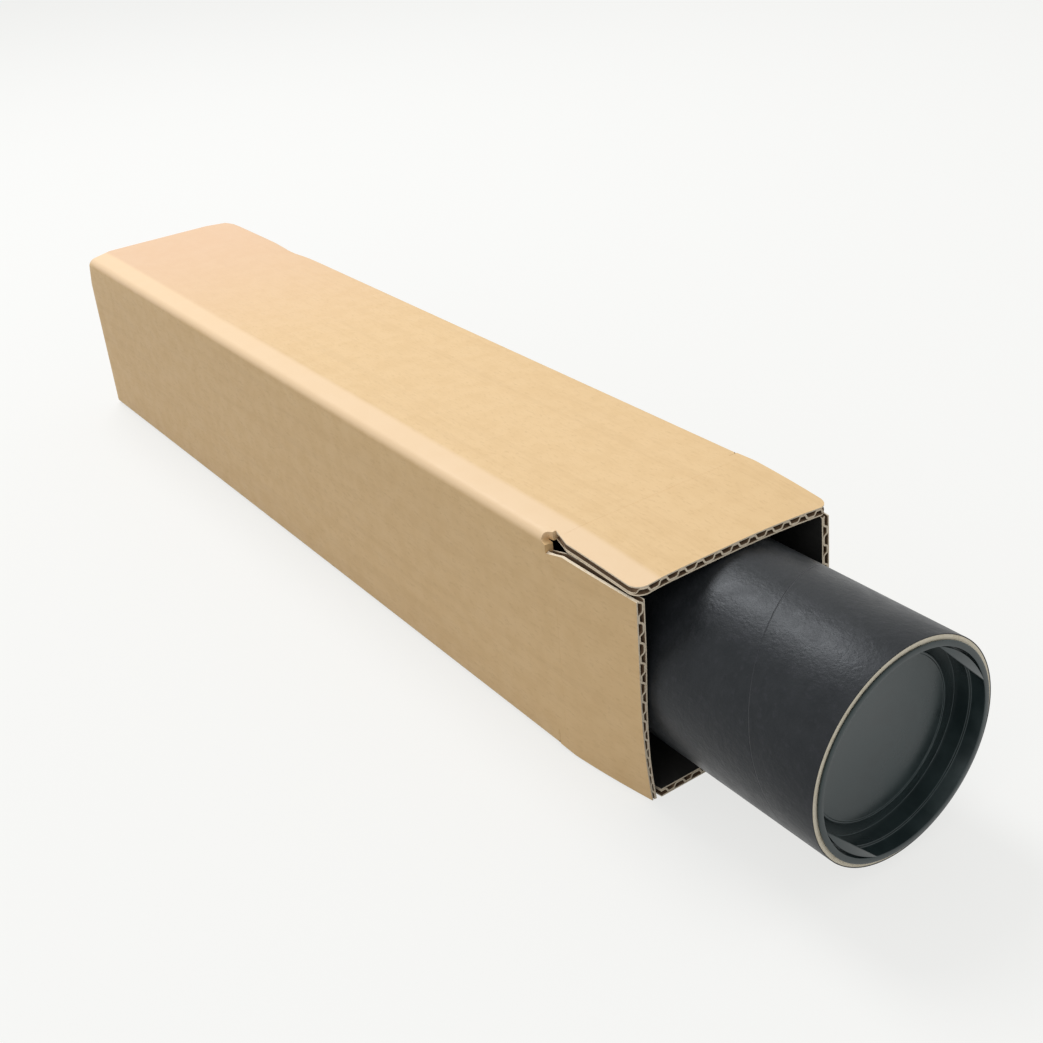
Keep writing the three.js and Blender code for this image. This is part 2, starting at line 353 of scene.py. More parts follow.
def board_paper(name, light, dark, cloud_scale, roughness, lap_sheen=None):
    """Paper with clouds and fibres. Kraft also has streaks, a painted sheen that makes the lap band paler,
    and a painted reflection that makes the far end of the top rosier.
    """
    material, nodes, shader = new_material(name)
    place = nodes.new("ShaderNodeTexCoord").outputs["Object"]
    paper = place_group(nodes, PAPER, place, Cloud_Scale=cloud_scale, Fibre_Scale=PAPER_FIBRE_SCALE,
                        Stretch=PAPER_STRETCH)
    colour = mix_colour(nodes, remap(nodes, paper.outputs["Mottle"], 0.35, 0.7, 0.0, 0.3), light, dark)
    colour = mix_colour(nodes, remap(nodes, paper.outputs["Fibre"], 0.5, 0.75, 0.0, 1.0), colour, dark)
    if lap_sheen:
        streak = place_group(nodes, PAPER, place, Cloud_Scale=40.0, Fibre_Scale=260.0, Stretch=30.0)
        colour = mix_colour(nodes, remap(nodes, streak.outputs["Fibre"], 0.45, 0.7, 0.0, 0.4), colour, dark)
        split = add_node(nodes, "ShaderNodeSeparateXYZ")
        link(nodes, place, split.inputs[0])
        # Painted sheen: a paler band along the lap, on top only.
        lap_edge = body_low.y + LAP_WIDTH
        lap_sheen_band = remap(nodes, split.outputs["Y"], lap_edge - BAND_FADE, lap_edge, LAP_SHEEN_SHARE, 0.0)
        on_top = remap(nodes, split.outputs["Z"], body_high.z - TOP_FADE_LOW, body_high.z - TOP_FADE_HIGH)
        # Painted reflection: rosier towards the closed end, on top only.
        far_edge = body_low.x + FAR_REFLECTION_REACH
        far = remap(nodes, split.outputs["X"], body_low.x, far_edge, FAR_REFLECTION_SHARE, 0.0)
        for mask, paint in ((far, KRAFT_FAR_REFLECTION), (lap_sheen_band, lap_sheen)):
            both = add_node(nodes, "ShaderNodeMath", operation="MULTIPLY")
            link(nodes, mask, both.inputs[0])
            link(nodes, on_top, both.inputs[1])
            colour = mix_colour(nodes, both.outputs[0], colour, paint)
    link(nodes, colour, shader.inputs["Base Color"])
    link(nodes, remap(nodes, paper.outputs["Mottle"], 0.3, 0.7, roughness - 0.05, roughness + 0.05),
         shader.inputs["Roughness"])
    bump_from(nodes, paper.outputs["Height"], PAPER_BUMP, PAPER_BUMP_DEPTH, shader)
    return material


kraft = board_paper("kraft_liner", KRAFT, KRAFT_DARK, 130.0, 0.55, KRAFT_LAP_SHEEN)
# Painted shade: dark for the shade inside the flutes.
shaded_fluting = board_paper("shaded_fluting_paper", FLUTING_SHADED, FLUTING_SHADED_DARK, 300.0, 0.85)
# Painted light on the cut edges, over their own pale colour.
lit_cut_paper = board_paper("lit_cut_paper_edge", PAPER_CUT_LIT, PAPER_CUT_LIT_DARK, 900.0, 0.8)
black_inside = board_paper("black_inside_liner", INSIDE_BLACK, INSIDE_BLACK_WORN, 200.0, 0.62)
BOARD_PAPERS = [kraft, shaded_fluting, lit_cut_paper, black_inside]
OUTSIDE, BETWEEN, CUT, INSIDE = range(4)


def thicken(bm, thickness, outside, inside, cut):
    """Gives a sheet its thickness inwards, and its outside, inside and cut faces their papers."""
    outer = set(bm.verts)
    bmesh.ops.solidify(bm, geom=bm.faces[:], thickness=thickness)
    for face in bm.faces:
        on_outer = sum(vert in outer for vert in face.verts)
        if on_outer == len(face.verts):
            face.material_index = outside
        elif on_outer == 0:
            face.material_index = inside
        else:
            face.material_index = cut


def finish_mesh(bm, name, materials, body, replaced=(), sharp_angle=32):
    """Turns a bmesh into a piece of the pack that rides on a body."""
    for face in bm.faces:
        face.smooth = True
    for edge in bm.edges:
        edge.smooth = edge.calc_face_angle(0) < math.radians(sharp_angle)
    mesh = bpy.data.meshes.new(name)
    bm.to_mesh(mesh)
    bm.free()
    for material in materials:
        mesh.materials.append(material)
    piece = bpy.data.objects.new(name, mesh)
    bpy.context.collection.objects.link(piece)
    if body:
        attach(piece, body)
    if replaced:
        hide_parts(*replaced)
    return piece


def slice_across(bm, axis, positions):
    """Adds an edge loop at each position along an axis."""
    normal = Vector((0, 0, 0))
    normal[axis] = 1
    for position in positions:
        everything = bm.verts[:] + bm.edges[:] + bm.faces[:]
        bmesh.ops.bisect_plane(bm, geom=everything, dist=TOUCHING, plane_co=normal * position,
                               plane_no=normal)


def steps_between(low, high, step):
    count = max(1, round((high - low) / step))
    return [low + (high - low) * i / count for i in range(1, count)]


def lap_press(y):
    """How far the top panel is pressed down at a distance across the carton."""
    return LAP_DROP * max(0.0, 1 - (y - body_low.y) / LAP_WIDTH)


# Soft dents: a blunt corner at the closed end, and small ones along the two top folds.
DENTS = [
    (Vector((body_low.x, body_low.y, body_high.z)), 9 * MM, 2.0 * MM),
    (Vector((body_low.x, body_high.y, body_high.z)), 6 * MM, 1.5 * MM),
    (Vector((body_low.x + 30 * MM, body_low.y, body_high.z)), 7 * MM, 0.8 * MM),
    (Vector((body_low.x + 84 * MM, body_high.y, body_high.z)), 13 * MM, 1.0 * MM),
    (Vector((body_low.x + 150 * MM, body_low.y, body_high.z)), 22 * MM, 0.6 * MM),
]
LAP_NOTCH_DEPTH = 2.4 * MM
NOTCH_DEPTH = 1.2 * MM
FOLD_STEPS = 8
# In fold radii: the gap from the square corner to the arc, and a slot root's reach from there.
ARC_GAP = 0.41
ROOT_REACH = 0.5


def dent(vert, centre):
    for place, reach, depth in DENTS:
        nearness = math.exp(-((vert.co - place).length / reach) ** 2)
        inwards = Vector((0, centre.y - place.y, centre.z - place.z)).normalized()
        vert.co += inwards * depth * nearness


def by_the_lap(place, centre):
    return place.y < centre.y and place.z > centre.z


def notch_back(vert, centre, half_y, half_z):
    """Cuts the round root of each slot back into the folds at the open end."""
    lap = by_the_lap(vert.co, centre)
    radius, depth = (LAP_FOLD_RADIUS, LAP_NOTCH_DEPTH) if lap else (FOLD_RADIUS, NOTCH_DEPTH)
    off_corner = math.hypot(abs(vert.co.y - centre.y) - half_y, abs(vert.co.z - centre.z) - half_z)
    share = (off_corner / radius - ARC_GAP) / ROOT_REACH
    if vert.co.x > body_high.x - 1e-5 and share < 1:
        vert.co.x -= depth * math.sqrt(max(0.0, 1 - max(0.0, share) ** 2))


def bevel_folds(bm, lap, radius):
    """Rounds either the fold beside the lap or the other three."""
    lengthwise = [e for e in bm.edges if abs(e.verts[0].co.x - e.verts[1].co.x) > STRIP]
    sharp = [e for e in lengthwise if e.is_manifold and e.calc_face_angle(0) > 1]
    chosen = [e for e in sharp if by_the_lap(e.verts[0].co, body_centre) == lap]
    bmesh.ops.bevel(bm, geom=chosen, offset=radius, offset_type="OFFSET", affect="EDGES",
                    segments=FOLD_STEPS, profile=0.5, material=-1)


sleeve = bmesh.new()
bmesh.ops.create_cube(sleeve, size=1)
body_size = body_high - body_low
body_centre = (body_high + body_low) / 2
fit = Matrix.Translation(body_centre) @ Matrix.Diagonal((*body_size, 1))
bmesh.ops.transform(sleeve, matrix=fit, verts=sleeve.verts)
for vert in sleeve.verts:
    vert.co.x = max(vert.co.x, body_low.x + END_STEP)
open_ends = [f for f in sleeve.faces if abs(f.normal.x) > 0.9]
bmesh.ops.delete(sleeve, geom=open_ends, context="FACES_ONLY")
bevel_folds(sleeve, True, LAP_FOLD_RADIUS)
bevel_folds(sleeve, False, FOLD_RADIUS)
slice_across(sleeve, 0, steps_between(body_low.x, body_high.x, STRIP))
slice_across(sleeve, 1, [body_low.y + LAP_WIDTH] + steps_between(body_low.y, body_high.y, 2 * STRIP))
slice_across(sleeve, 2, steps_between(body_low.z, body_high.z, 2 * STRIP))
for vert in sleeve.verts:
    notch_back(vert, body_centre, body_size.y / 2, body_size.z / 2)
    if vert.co.z > body_centre.z:
        vert.co.z -= lap_press(vert.co.y) * (vert.co.z - body_centre.z) / (body_size.z / 2)
    dent(vert, body_centre)
    vert.co.y += SKIN_SINK * (1 if vert.co.y < body_centre.y else -1)
    vert.co.z += SKIN_SINK * (1 if vert.co.z < body_centre.z else -1)
bmesh.ops.recalc_face_normals(sleeve, faces=sleeve.faces)
thicken(sleeve, BOARD, OUTSIDE, INSIDE, OUTSIDE)
finish_mesh(sleeve, "carton_sleeve", BOARD_PAPERS, "carton", ["carton_body"])

# Corrugated board where its cut edges show. Each board is two flat liners with a wavy paper
# between them, glued at the crests. The papers are separate sheets, so a cut edge shows arches
# across the flutes and long stripes along them.

FLUTE_STEPS = 20
FLUTE_STEEPNESS = 3.6
STEPS_ALONG = 16
LINER_STEPS = 24
CORNER_CUTS = (15, 30, 45, 60, 75)
CRUSH_LENGTH = 7 * MM
CRUSHED_SHARE = 0.5
CRUSH_TOP = 0.4


def cut_outline(bm, length, lower, upper, roots, root_length):
    """Trims a sheet that lies in X and Y to the tapered outline between two slots."""
    for side, edge, root_width in ((-1, lower, roots[0]), (1, upper, roots[1])):
        at_crease, at_front = edge
        knee = at_crease + (at_front - at_crease) * root_length / length
        for start, end in (
            (Vector((0, side * (at_crease - root_width), 0)), Vector((root_length, side * knee, 0))),
            (Vector((root_length, side * knee, 0)), Vector((length, side * at_front, 0))),
        ):
            if root_width == 0 and start.x == 0:
                continue
            along = end - start
            outwards = Vector((-along.y, along.x, 0)) * side
            everything = bm.verts[:] + bm.edges[:] + bm.faces[:]
            bmesh.ops.bisect_plane(bm, geom=everything, dist=TOUCHING, plane_co=start,
                                   plane_no=outwards, clear_outer=True)


def round_corner(bm, length, side, edge, radius):
    """Rounds a front corner with a few straight cuts."""
    centre = Vector((length - radius, side * (edge - radius), 0))
    for degrees in CORNER_CUTS:
        turn = math.radians(degrees)
        outwards = Vector((math.cos(turn), side * math.sin(turn), 0))
        everything = bm.verts[:] + bm.edges[:] + bm.faces[:]
        bmesh.ops.bisect_plane(bm, geom=everything, dist=TOUCHING, plane_co=centre + outwards * radius,
                               plane_no=outwards, clear_outer=True)


def paper_sheet(length, half_span, steps_along, steps_across):
    bm = bmesh.new()
    bmesh.ops.create_grid(bm, x_segments=steps_along, y_segments=steps_across, size=1)
    place = Matrix.Translation((length / 2, 0, 0)) @ Matrix.Diagonal((length / 2, half_span, 1, 1))
    bmesh.ops.transform(bm, matrix=place, verts=bm.verts)
    return bm


def face_up(bm):
    """Turns a flat sheet's faces so that they point along +Z."""
    bmesh.ops.recalc_face_normals(bm, faces=bm.faces)
    if sum(f.normal.z for f in bm.faces) < 0:
        bmesh.ops.reverse_faces(bm, faces=bm.faces)


def absorb(bm, other):
    """Moves the geometry of one bmesh into another."""
    passing = bpy.data.meshes.new("passing")
    other.to_mesh(passing)
    other.free()
    bm.from_mesh(passing)
    bpy.data.meshes.remove(passing)


def flute_wave(y):
    """The wavy paper's height, from -1 to 1, steeper between its crests than a plain wave."""
    wave = math.cos(FULL_TURN * y / FLUTE_PITCH)
    return math.tanh(FLUTE_STEEPNESS * wave) / math.tanh(FLUTE_STEEPNESS)


def uncrushed(y):
    return 0.0


def fluted_board(length, lower, upper, curl, roots, root_length, crush=uncrushed, corner=0.0):
    """Corrugated board with its flutes along X. Its inner face is at z = 0 before it is curled."""
    half_span = max(*lower, *upper)
    top = BOARD - SKIN_SINK
    middle = (BOARD + MEDIUM) / 2
    swing = (BOARD - 2 * LINER - MEDIUM) / 2
    across_flutes = round(2 * half_span / FLUTE_PITCH * FLUTE_STEPS)
    layers = (
        (LINER_STEPS, lambda y: top, LINER, OUTSIDE, BETWEEN),
        (across_flutes, lambda y: middle + swing * flute_wave(y), MEDIUM, BETWEEN, BETWEEN),
        (LINER_STEPS, lambda y: LINER, LINER, BETWEEN, INSIDE),
    )
    board = bmesh.new()
    for across, height, thickness, outside, inside in layers:
        sheet = paper_sheet(length, half_span, STEPS_ALONG, across)
        cut_outline(sheet, length, lower, upper, roots, root_length)
        if corner:
            round_corner(sheet, length, -1, lower[1], corner)
            round_corner(sheet, length, 1, upper[1], corner)
        for vert in sheet.verts:
            into_crush = min(1.0, max(0.0, (vert.co.x - length + CRUSH_LENGTH) / CRUSH_LENGTH))
            depth = (top - height(vert.co.y)) * (1 - crush(vert.co.y) * into_crush)
            vert.co.z = top - depth - curl(vert.co.y, vert.co.x / length)
        face_up(sheet)
        thicken(sheet, thickness, outside, inside, CUT)
        absorb(board, sheet)
    return board


# Closed far end. One pair of flaps is folded in first, and is drawn as one plate. The other pair
# is glued outside it, meets at a seam across the middle, and stops a little short of the sides.

half_width = body_size.y / 2
half_height = body_size.z / 2
end_span = half_width - END_FLAP_INSET
outer_length = half_height - END_SEAM / 2 - END_FLAP_DROP


def straight(across, share):
    return 0.0


for name, turn in (("end_flap_upper", 0.0), ("end_flap_lower", HALF_TURN)):
    spans = (end_span, end_span)
    board = fluted_board(outer_length, spans, spans, straight, (END_CORNER, END_CORNER), 2 * END_CORNER)
    stand = (
        Matrix.Translation((body_low.x + BOARD, 0, body_centre.z))
        @ Matrix.Rotation(turn, 4, "X")
        @ Matrix.Translation((0, 0, half_height - END_FLAP_DROP))
        @ Matrix.Rotation(QUARTER_TURN, 4, "Y")
        @ Matrix.Rotation(HALF_TURN, 4, "X")
    )
    bmesh.ops.transform(board, matrix=stand, verts=board.verts)
    for vert in board.verts:
        dent(vert, body_centre)
    finish_mesh(board, name, BOARD_PAPERS, "carton")
inner_end = bmesh.new()
bmesh.ops.create_cube(inner_end, size=1)
inner_span = half_width - BOARD
fit = Matrix.Translation((body_low.x + 1.5 * BOARD, 0, body_centre.z)) @ Matrix.Diagonal(
    (BOARD * SNUG, 2 * inner_span, 2 * (half_height - BOARD), 1))
bmesh.ops.transform(inner_end, matrix=fit, verts=inner_end.verts)
bmesh.ops.bevel(inner_end, geom=inner_end.edges[:], offset=0.5 * MM, offset_type="OFFSET",
                affect="EDGES", segments=2, profile=0.5, material=-1)
finish_mesh(inner_end, "end_flaps_inner", [black_inside], "carton")

# Open flaps. Four tongues of the same sheet, parted by slots that are cut back into the folds.
# They stand straight ahead of the creases, and all but the bottom one curl in round the tube.

FLAP_LENGTH = 46 * MM
SLOT_CLEARANCE = 0.6 * MM
SLOT_ROOT_WIDTH = 2.6 * MM
NARROW_ROOT_WIDTH = 0.8 * MM
SLOT_ROOT_LENGTH = 9 * MM
TOP_INSET = 2.6 * MM
TOP_CORNER = 5 * MM
TOP_CURL = 1.7 * MM
TOP_CURL_NEAR_CORNER = 0.4 * MM
TOP_CURL_FAR_CORNER = 2.4 * MM
NEAR_CURL = 2.1 * MM
NEAR_CURL_BOTTOM_CORNER = 3.2 * MM
FAR_CURL_CORNER = 1.6 * MM
CREASE_REACH = 4 * MM
CREASE_STEPS = 12
LINER_ON_CREASE = LINER / 2
CURL_POWER = 1.5


def curl_amount(across, half_span, share, middle, lower_corner, upper_corner):
    corner = lower_corner if across < 0 else upper_corner
    return (middle + corner * min(1.0, abs(across) / half_span) ** 2) * max(0.0, share) ** CURL_POWER


def curl_top(across, share):
    own = curl_amount(across, half_width, share, TOP_CURL, TOP_CURL_NEAR_CORNER, TOP_CURL_FAR_CORNER)
    return own + lap_press(across)


def curl_near(across, share):
    return curl_amount(across, half_height, share, NEAR_CURL, NEAR_CURL_BOTTOM_CORNER, 0.0)


def curl_far(across, share):
    return curl_amount(across, half_height, share, 0.0, FAR_CURL_CORNER, FAR_CURL_CORNER)


def crush_low(across):
    """The near flap's front edge is crushed over its lower half."""
    return CRUSHED_SHARE * min(1.0, max(0.0, CRUSH_TOP - across / half_height))


full = half_width - SLOT_CLEARANCE
under = half_width - BOARD - SLOT_CLEARANCE
top_near = half_width - TOP_INSET
under_near = under - LAP_DROP
narrow_roots = (NARROW_ROOT_WIDTH, NARROW_ROOT_WIDTH)
FLAPS = {
    "flap_top": dict(
        body="top_flap", turn=0.0, curl=curl_top, crush=uncrushed, corner=TOP_CORNER,
        lower=(top_near, top_near), upper=(full, full), roots=(SLOT_ROOT_WIDTH, NARROW_ROOT_WIDTH)),
    "flap_bottom": dict(
        body="bottom_flap", turn=HALF_TURN, curl=straight, crush=uncrushed, corner=0.0,
        lower=(under, under - FAR_CURL_CORNER),
        upper=(under, under - NEAR_CURL - NEAR_CURL_BOTTOM_CORNER), roots=narrow_roots),
    "flap_near": dict(
        body="near_flap", turn=QUARTER_TURN, curl=curl_near, crush=crush_low, corner=0.0,
        lower=(full, full), upper=(under_near, under_near - TOP_CURL - TOP_CURL_NEAR_CORNER),
        roots=(NARROW_ROOT_WIDTH, SLOT_ROOT_WIDTH)),
    "flap_far": dict(
        body="far_flap", turn=-QUARTER_TURN, curl=curl_far, crush=uncrushed, corner=0.0,
        lower=(under, under - TOP_CURL - TOP_CURL_FAR_CORNER), upper=(full, full),
        roots=narrow_roots),
}


def crease_strip(flap):
    """The liner's stretch over a flap's crease, bent to the flap's curl."""
    reach = min(flap["lower"][0], flap["upper"][0]) - SLOT_ROOT_WIDTH
    strip = paper_sheet(2 * CREASE_REACH, reach, CREASE_STEPS, LINER_STEPS)
    for vert in strip.verts:
        ahead = vert.co.x - CREASE_REACH
        share = max(0.0, ahead / FLAP_LENGTH)
        vert.co.z = BOARD - SKIN_SINK / 2 - flap["curl"](vert.co.y, share)
        vert.co.x = ahead
    face_up(strip)
    bmesh.ops.solidify(strip, geom=strip.faces[:], thickness=LINER_ON_CREASE)
    return strip


for node, flap in FLAPS.items():
    board = fluted_board(FLAP_LENGTH, flap["lower"], flap["upper"], flap["curl"], flap["roots"],
                         SLOT_ROOT_LENGTH, flap["crush"], flap["corner"])
    stand = (
        Matrix.Translation((crease_x, 0, body_centre.z))
        @ Matrix.Rotation(flap["turn"], 4, "X")
        @ Matrix.Translation((0, 0, half_height - BOARD))
    )
    bmesh.ops.transform(board, matrix=stand, verts=board.verts)
    finish_mesh(board, node + "_board", BOARD_PAPERS, flap["body"], [node])
    crease = crease_strip(flap)
    bmesh.ops.transform(crease, matrix=stand, verts=crease.verts)
    strip = finish_mesh(crease, node + "_crease", [kraft], None)
    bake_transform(strip)

# Mailing tube. Spirally wound pale board under a glued wrap of black paper, whose edges meet in
# a spiral seam. The cut end shows the board as a pale ring inside the wrap, just behind the
# plug's rim.

WRAP = 0.3 * MM
RIM_PROUD = 0.9 * MM
TURN_STEPS = 192
SEAM_PITCH = 96 * MM
SEAM_START = 72 * MM
SEAM_HALF_WIDTH = 0.3 * MM
WRAP_STRIP = 20 * MM
WRAP_GLOSS = 0.24
WRAP_SHINE = (0.88, 0.93, 1.0, 1)
WALL_ROUNDING = 0.12 * MM
WRAP_ROUNDING = 0.14 * MM
BLACK = (0.0165, 0.0185, 0.0205, 1)
BLACK_CLOUD = (0.0215, 0.0235, 0.026, 1)
BLACK_FIBRE = (0.030, 0.031, 0.036, 1)
SEAM_PALE = (0.06, 0.06, 0.068, 1)
# Partly the board's own pale colour and partly painted light: the end ring faces away from the lamps and is
# painted brighter for it.
RING_PALE_LIT = (0.95, 0.87, 0.70, 1)
RING_DARK_LIT = (0.78, 0.68, 0.50, 1)

tube_low, tube_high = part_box("mailing_tube")
tube_centre = (tube_low + tube_high) / 2
tube_radius = (tube_high.z - tube_low.z) / 2
BORE = 38 * MM


def spin_about_tube(outline, centre, on_axis=False, round_off=0.0):
    """Spins a closed outline of (x, radius) corners round the tube's axis."""
    bm = bmesh.new()
    corners = [bm.verts.new((x, 0, radius)) for x, radius in outline]
    count = len(corners)
    last = count - 1 if on_axis else count
    for i in range(last):
        bm.edges.new((corners[i], corners[(i + 1) % count]))
    if round_off:
        rounded = [v for v in bm.verts if len(v.link_edges) == 2 and v.co.z > round_off]
        bmesh.ops.bevel(bm, geom=rounded, offset=round_off, offset_type="OFFSET", affect="VERTICES",
                        segments=3, profile=0.5, material=-1)
    bmesh.ops.spin(bm, geom=bm.verts[:] + bm.edges[:], cent=(0, 0, 0), axis=(1, 0, 0),
                   angle=FULL_TURN, steps=TURN_STEPS, use_merge=True)
    bmesh.ops.remove_doubles(bm, verts=bm.verts, dist=TOUCHING)
    bmesh.ops.translate(bm, verts=bm.verts, vec=centre)
    bmesh.ops.recalc_face_normals(bm, faces=bm.faces)
    return bm


def tube_angle(nodes, place):
    """The angle round the tube's axis, in turns, and the distance along it."""
    shift = add_node(nodes, "ShaderNodeVectorMath", operation="SUBTRACT")
    shift.inputs[1].default_value = tuple(tube_centre)
    link(nodes, place, shift.inputs[0])
    split = add_node(nodes, "ShaderNodeSeparateXYZ")
    link(nodes, shift.outputs[0], split.inputs[0])
    angle = add_node(nodes, "ShaderNodeMath", operation="ARCTAN2")
    link(nodes, split.outputs["Y"], angle.inputs[0])
    link(nodes, split.outputs["Z"], angle.inputs[1])
    turns = add_node(nodes, "ShaderNodeMath", operation="DIVIDE")
    turns.inputs[1].default_value = FULL_TURN
    link(nodes, angle.outputs[0], turns.inputs[0])
    return turns.outputs[0], split.outputs["X"]


def black_paper_material():
    """Black wrapping paper: a fine pebbled grain, a soft gloss and a butted spiral seam."""
    material, nodes, shader = new_material("black_wrap_paper")
    place = nodes.new("ShaderNodeTexCoord").outputs["Object"]
    paper = place_group(nodes, PAPER, place, Cloud_Scale=160.0, Fibre_Scale=1000.0, Stretch=1.4)
    pebble = place_group(nodes, PAPER, place, Cloud_Scale=420.0, Fibre_Scale=2200.0, Stretch=1.0)
    turns, along = tube_angle(nodes, place)
    wound = weighted_sum(nodes, turns, SEAM_PITCH, along)
    offset = add_node(nodes, "ShaderNodeMath", operation="SUBTRACT")
    offset.inputs[1].default_value = crease_x + SEAM_START - tube_centre.x
    link(nodes, wound, offset.inputs[0])
    phase = add_node(nodes, "ShaderNodeMath", operation="PINGPONG")
    phase.inputs[1].default_value = SEAM_PITCH / 2
    link(nodes, offset.outputs[0], phase.inputs[0])
    seam = remap(nodes, phase.outputs[0], 0.0, SEAM_HALF_WIDTH, 1.0, 0.0)
    colour = mix_colour(nodes, remap(nodes, paper.outputs["Mottle"], 0.32, 0.7), BLACK, BLACK_CLOUD)
    specks = remap(nodes, pebble.outputs["Mottle"], 0.5, 0.75, 0.0, 0.7)
    colour = mix_colour(nodes, specks, colour, BLACK_FIBRE)
    colour = mix_colour(nodes, remap(nodes, seam, 0.0, 1.0, 0.0, 0.45), colour, SEAM_PALE)
    link(nodes, colour, shader.inputs["Base Color"])
    shader.inputs["Specular IOR Level"].default_value = WRAP_GLOSS
    shader.inputs["Specular Tint"].default_value = WRAP_SHINE
    link(nodes, remap(nodes, paper.outputs["Mottle"], 0.3, 0.7, 0.34, 0.42), shader.inputs["Roughness"])
    height = add_node(nodes, "ShaderNodeMath", operation="SUBTRACT")
    grain = weighted_sum(nodes, pebble.outputs["Mottle"], 1.4, paper.outputs["Fibre"])
    link(nodes, grain, height.inputs[0])
    link(nodes, seam, height.inputs[1])
    bump_from(nodes, height.outputs[0], 0.6, 0.16 * MM, shader)
    return material


black_paper = black_paper_material()
# Painted light on the tube's board, over its own pale colour.
lit_tube_board = board_paper("lit_tube_board", RING_PALE_LIT, RING_DARK_LIT, 300.0, 0.75)
half_length = (tube_high.x - tube_low.x) / 2 - RIM_PROUD
wall_end = half_length - WALL_ROUNDING
wall = spin_about_tube(
    [(-wall_end, BORE), (wall_end, BORE), (wall_end, tube_radius - WRAP), (-wall_end, tube_radius - WRAP)],
    tube_centre, round_off=WALL_ROUNDING)
finish_mesh(wall, "tube_wall", [lit_tube_board], "tube", ["mailing_tube"])
wrap_inside = tube_radius - WRAP * SNUG
wrap = spin_about_tube(
    [(-half_length, wrap_inside), (half_length, wrap_inside), (half_length, tube_radius),
     (-half_length, tube_radius)],
    tube_centre, round_off=WRAP_ROUNDING)
slice_across(wrap, 0, steps_between(tube_low.x, tube_high.x, WRAP_STRIP))
finish_mesh(wrap, "tube_wrap", [black_paper], "tube")

# End plugs. One-piece cups moulded in dark glossy polyethylene and pushed into the bore. A thin
# flange stands proud of the tube and seats on its cut end. The wall steps in near the mouth, a
# ring runs round the floor, and two finger tabs cross the mouth.

PLUG_DEPTH = 12.5 * MM
PLUG_RADIUS = BORE - 0.3 * MM
PLUG_RIM = 1.4 * MM
PLUG_FLOOR = 1.5 * MM
PLUG_DRAFT = 0.6 * MM
PLUG_STEP_DEPTH = 5 * MM
PLUG_STEP = 1.0 * MM
FLOOR_RING = 30 * MM
FLOOR_RING_WIDTH = 1.0 * MM
FLOOR_RING_HEIGHT = 0.5 * MM
TAB_THICKNESS = 1.2 * MM
TAB_DEPTH = 3.9 * MM
TAB_SLIT = 1.0 * MM
TAB_ANGLE = math.radians(45)
PLUG_FLANGE = BORE + 0.4 * MM
PLUG_FLANGE_HEIGHT = RIM_PROUD - 0.1 * MM
PLUG_BLACK = (0.012, 0.020, 0.021, 1)
PLUG_CLOUD = (0.022, 0.034, 0.035, 1)
PLUG_SHINE = (0.86, 0.97, 1.0, 1)
PLUG_ROUNDING = 0.22 * MM
TAB_ROUNDING = 0.2 * MM
TAB_ARC_STEPS = 160


def plug_material():
    """Moulded polyethylene: glossy near black, slightly cloudy, with faint rings of flow."""
    material, nodes, shader = new_material("dark_polyethylene")
    place = nodes.new("ShaderNodeTexCoord").outputs["Object"]
    cloud = place_group(nodes, PAPER, place, Cloud_Scale=70.0, Fibre_Scale=1500.0, Stretch=1.0)
    centred = add_node(nodes, "ShaderNodeMapping")
    centred.inputs["Location"].default_value = (0.0, -tube_centre.y, -tube_centre.z)
    centred.inputs["Scale"].default_value = (0.0, 1.0, 1.0)
    link(nodes, place, centred.inputs["Vector"])
    flow = add_node(nodes, "ShaderNodeTexWave", wave_type="RINGS", rings_direction="X")
    flow.inputs["Scale"].default_value = 45.0
    flow.inputs["Distortion"].default_value = 7.0
    flow.inputs["Detail Scale"].default_value = 3.0
    link(nodes, centred.outputs[0], flow.inputs["Vector"])
    colour = mix_colour(nodes, remap(nodes, cloud.outputs["Mottle"], 0.3, 0.7), PLUG_BLACK, PLUG_CLOUD)
    colour = mix_colour(nodes, remap(nodes, flow.outputs["Fac"], 0.2, 0.9, 0.0, 0.4), colour, PLUG_CLOUD)
    link(nodes, colour, shader.inputs["Base Color"])
    shader.inputs["Specular Tint"].default_value = PLUG_SHINE
    link(nodes, remap(nodes, cloud.outputs["Mottle"], 0.3, 0.7, 0.17, 0.25), shader.inputs["Roughness"])
    ripples = weighted_sum(nodes, flow.outputs["Fac"], 0.4, cloud.outputs["Mottle"])
    bump_from(nodes, ripples, 0.05, 0.1 * MM, shader)
    return material


plug_plastic = plug_material()


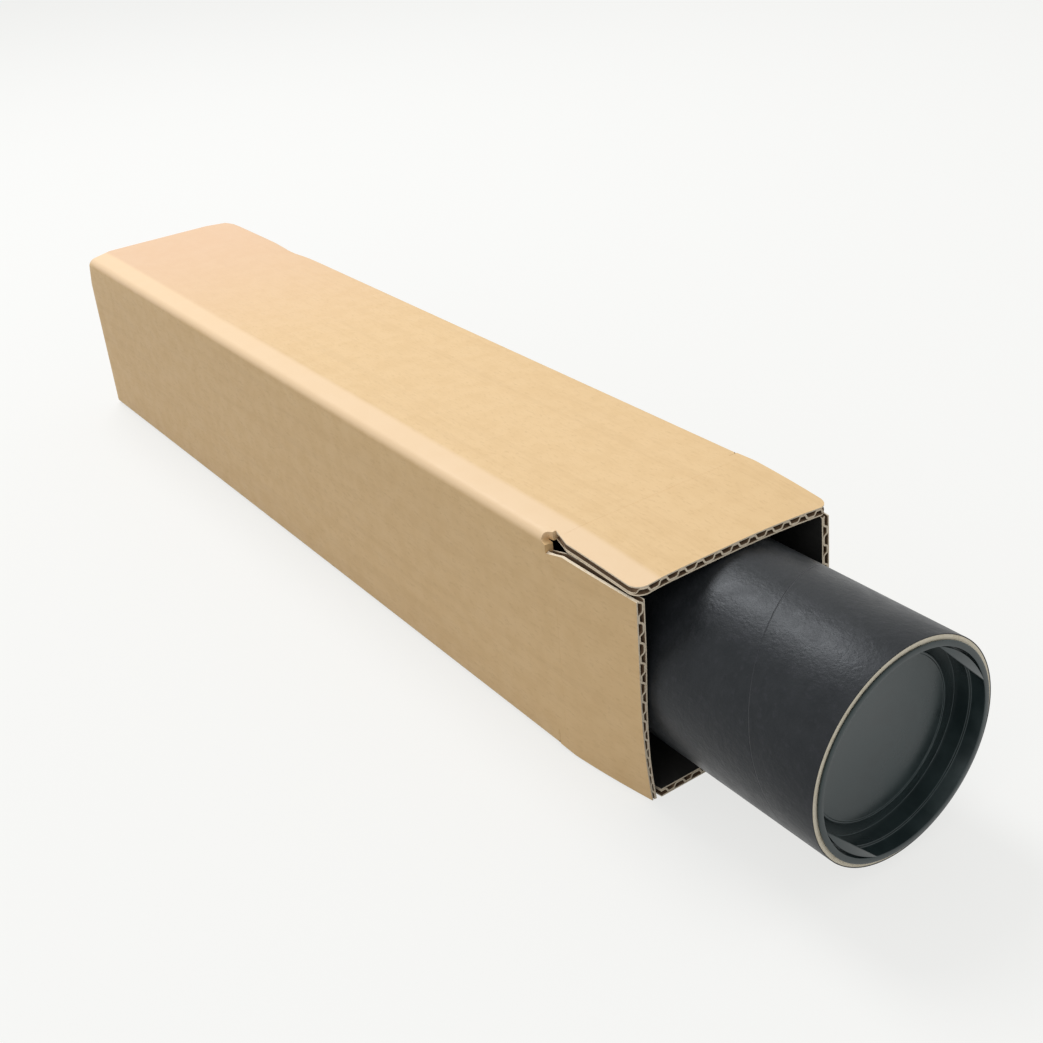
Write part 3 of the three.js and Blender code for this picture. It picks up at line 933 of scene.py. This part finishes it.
def finger_tab(mouth, turn):
    """A flat segment across the mouth, made by cutting a disc along its chord."""
    chord = mouth - TAB_DEPTH
    half_chord = math.sqrt(mouth ** 2 - chord ** 2) + PLUG_RIM / 2
    rise = TAB_DEPTH - TAB_SLIT
    arc = (half_chord ** 2 + rise ** 2) / (2 * rise)
    bm = bmesh.new()
    bmesh.ops.create_circle(bm, cap_ends=True, segments=TAB_ARC_STEPS, radius=arc)
    bmesh.ops.translate(bm, verts=bm.verts, vec=(chord + rise - arc, 0, 0))
    bmesh.ops.bisect_plane(bm, geom=bm.verts[:] + bm.edges[:] + bm.faces[:], dist=TOUCHING,
                           plane_co=(chord, 0, 0), plane_no=(1, 0, 0), clear_inner=True)
    raised = bmesh.ops.extrude_face_region(bm, geom=bm.faces[:])["geom"]
    moved = [g for g in raised if isinstance(g, bmesh.types.BMVert)]
    bmesh.ops.translate(bm, verts=moved, vec=(0, 0, TAB_THICKNESS))
    bmesh.ops.recalc_face_normals(bm, faces=bm.faces)
    rims = [e for e in bm.edges if e.calc_face_angle(0) > 1]
    bmesh.ops.bevel(bm, geom=rims, offset=TAB_ROUNDING, offset_type="OFFSET", affect="EDGES",
                    segments=2, profile=0.5, material=-1)
    lay = (
        Matrix.Translation((-TAB_THICKNESS, 0, 0))
        @ Matrix.Rotation(turn, 4, "X")
        @ Matrix.Rotation(QUARTER_TURN, 4, "Z")
        @ Matrix.Rotation(QUARTER_TURN, 4, "X")
    )
    bmesh.ops.transform(bm, matrix=lay, verts=bm.verts)
    return bm


def end_plug(name, node, body, end_x, facing):
    mouth = PLUG_RADIUS - PLUG_RIM
    step = mouth - PLUG_DRAFT - PLUG_STEP
    floor_x = PLUG_FLOOR - PLUG_DEPTH
    ring_out = FLOOR_RING + FLOOR_RING_WIDTH / 2
    ring_in = FLOOR_RING - FLOOR_RING_WIDTH / 2
    cup = spin_about_tube(
        [(-PLUG_DEPTH, 0), (-PLUG_DEPTH, PLUG_RADIUS - PLUG_DRAFT), (-PLUG_FLANGE_HEIGHT, PLUG_RADIUS),
         (-PLUG_FLANGE_HEIGHT, PLUG_FLANGE), (0, PLUG_FLANGE), (0, mouth),
         (-PLUG_STEP_DEPTH, mouth - PLUG_DRAFT), (-PLUG_STEP_DEPTH, step), (floor_x, step),
         (floor_x, ring_out), (floor_x + FLOOR_RING_HEIGHT, ring_out),
         (floor_x + FLOOR_RING_HEIGHT, ring_in), (floor_x, ring_in), (floor_x, 0)],
        Vector((0, 0, 0)), on_axis=True, round_off=PLUG_ROUNDING)
    for turn in (TAB_ANGLE, TAB_ANGLE + HALF_TURN):
        absorb(cup, finger_tab(mouth, turn))
    place = Matrix.Translation((end_x, tube_centre.y, tube_centre.z)) @ Matrix.Rotation(facing, 4, "Z")
    bmesh.ops.transform(cup, matrix=place, verts=cup.verts)
    finish_mesh(cup, name, [plug_plastic], body, [node])


end_plug("plug_front", "end_plug_front", "front_plug", tube_high.x, 0.0)
end_plug("plug_rear", "end_plug_rear", "rear_plug", tube_low.x, HALF_TURN)
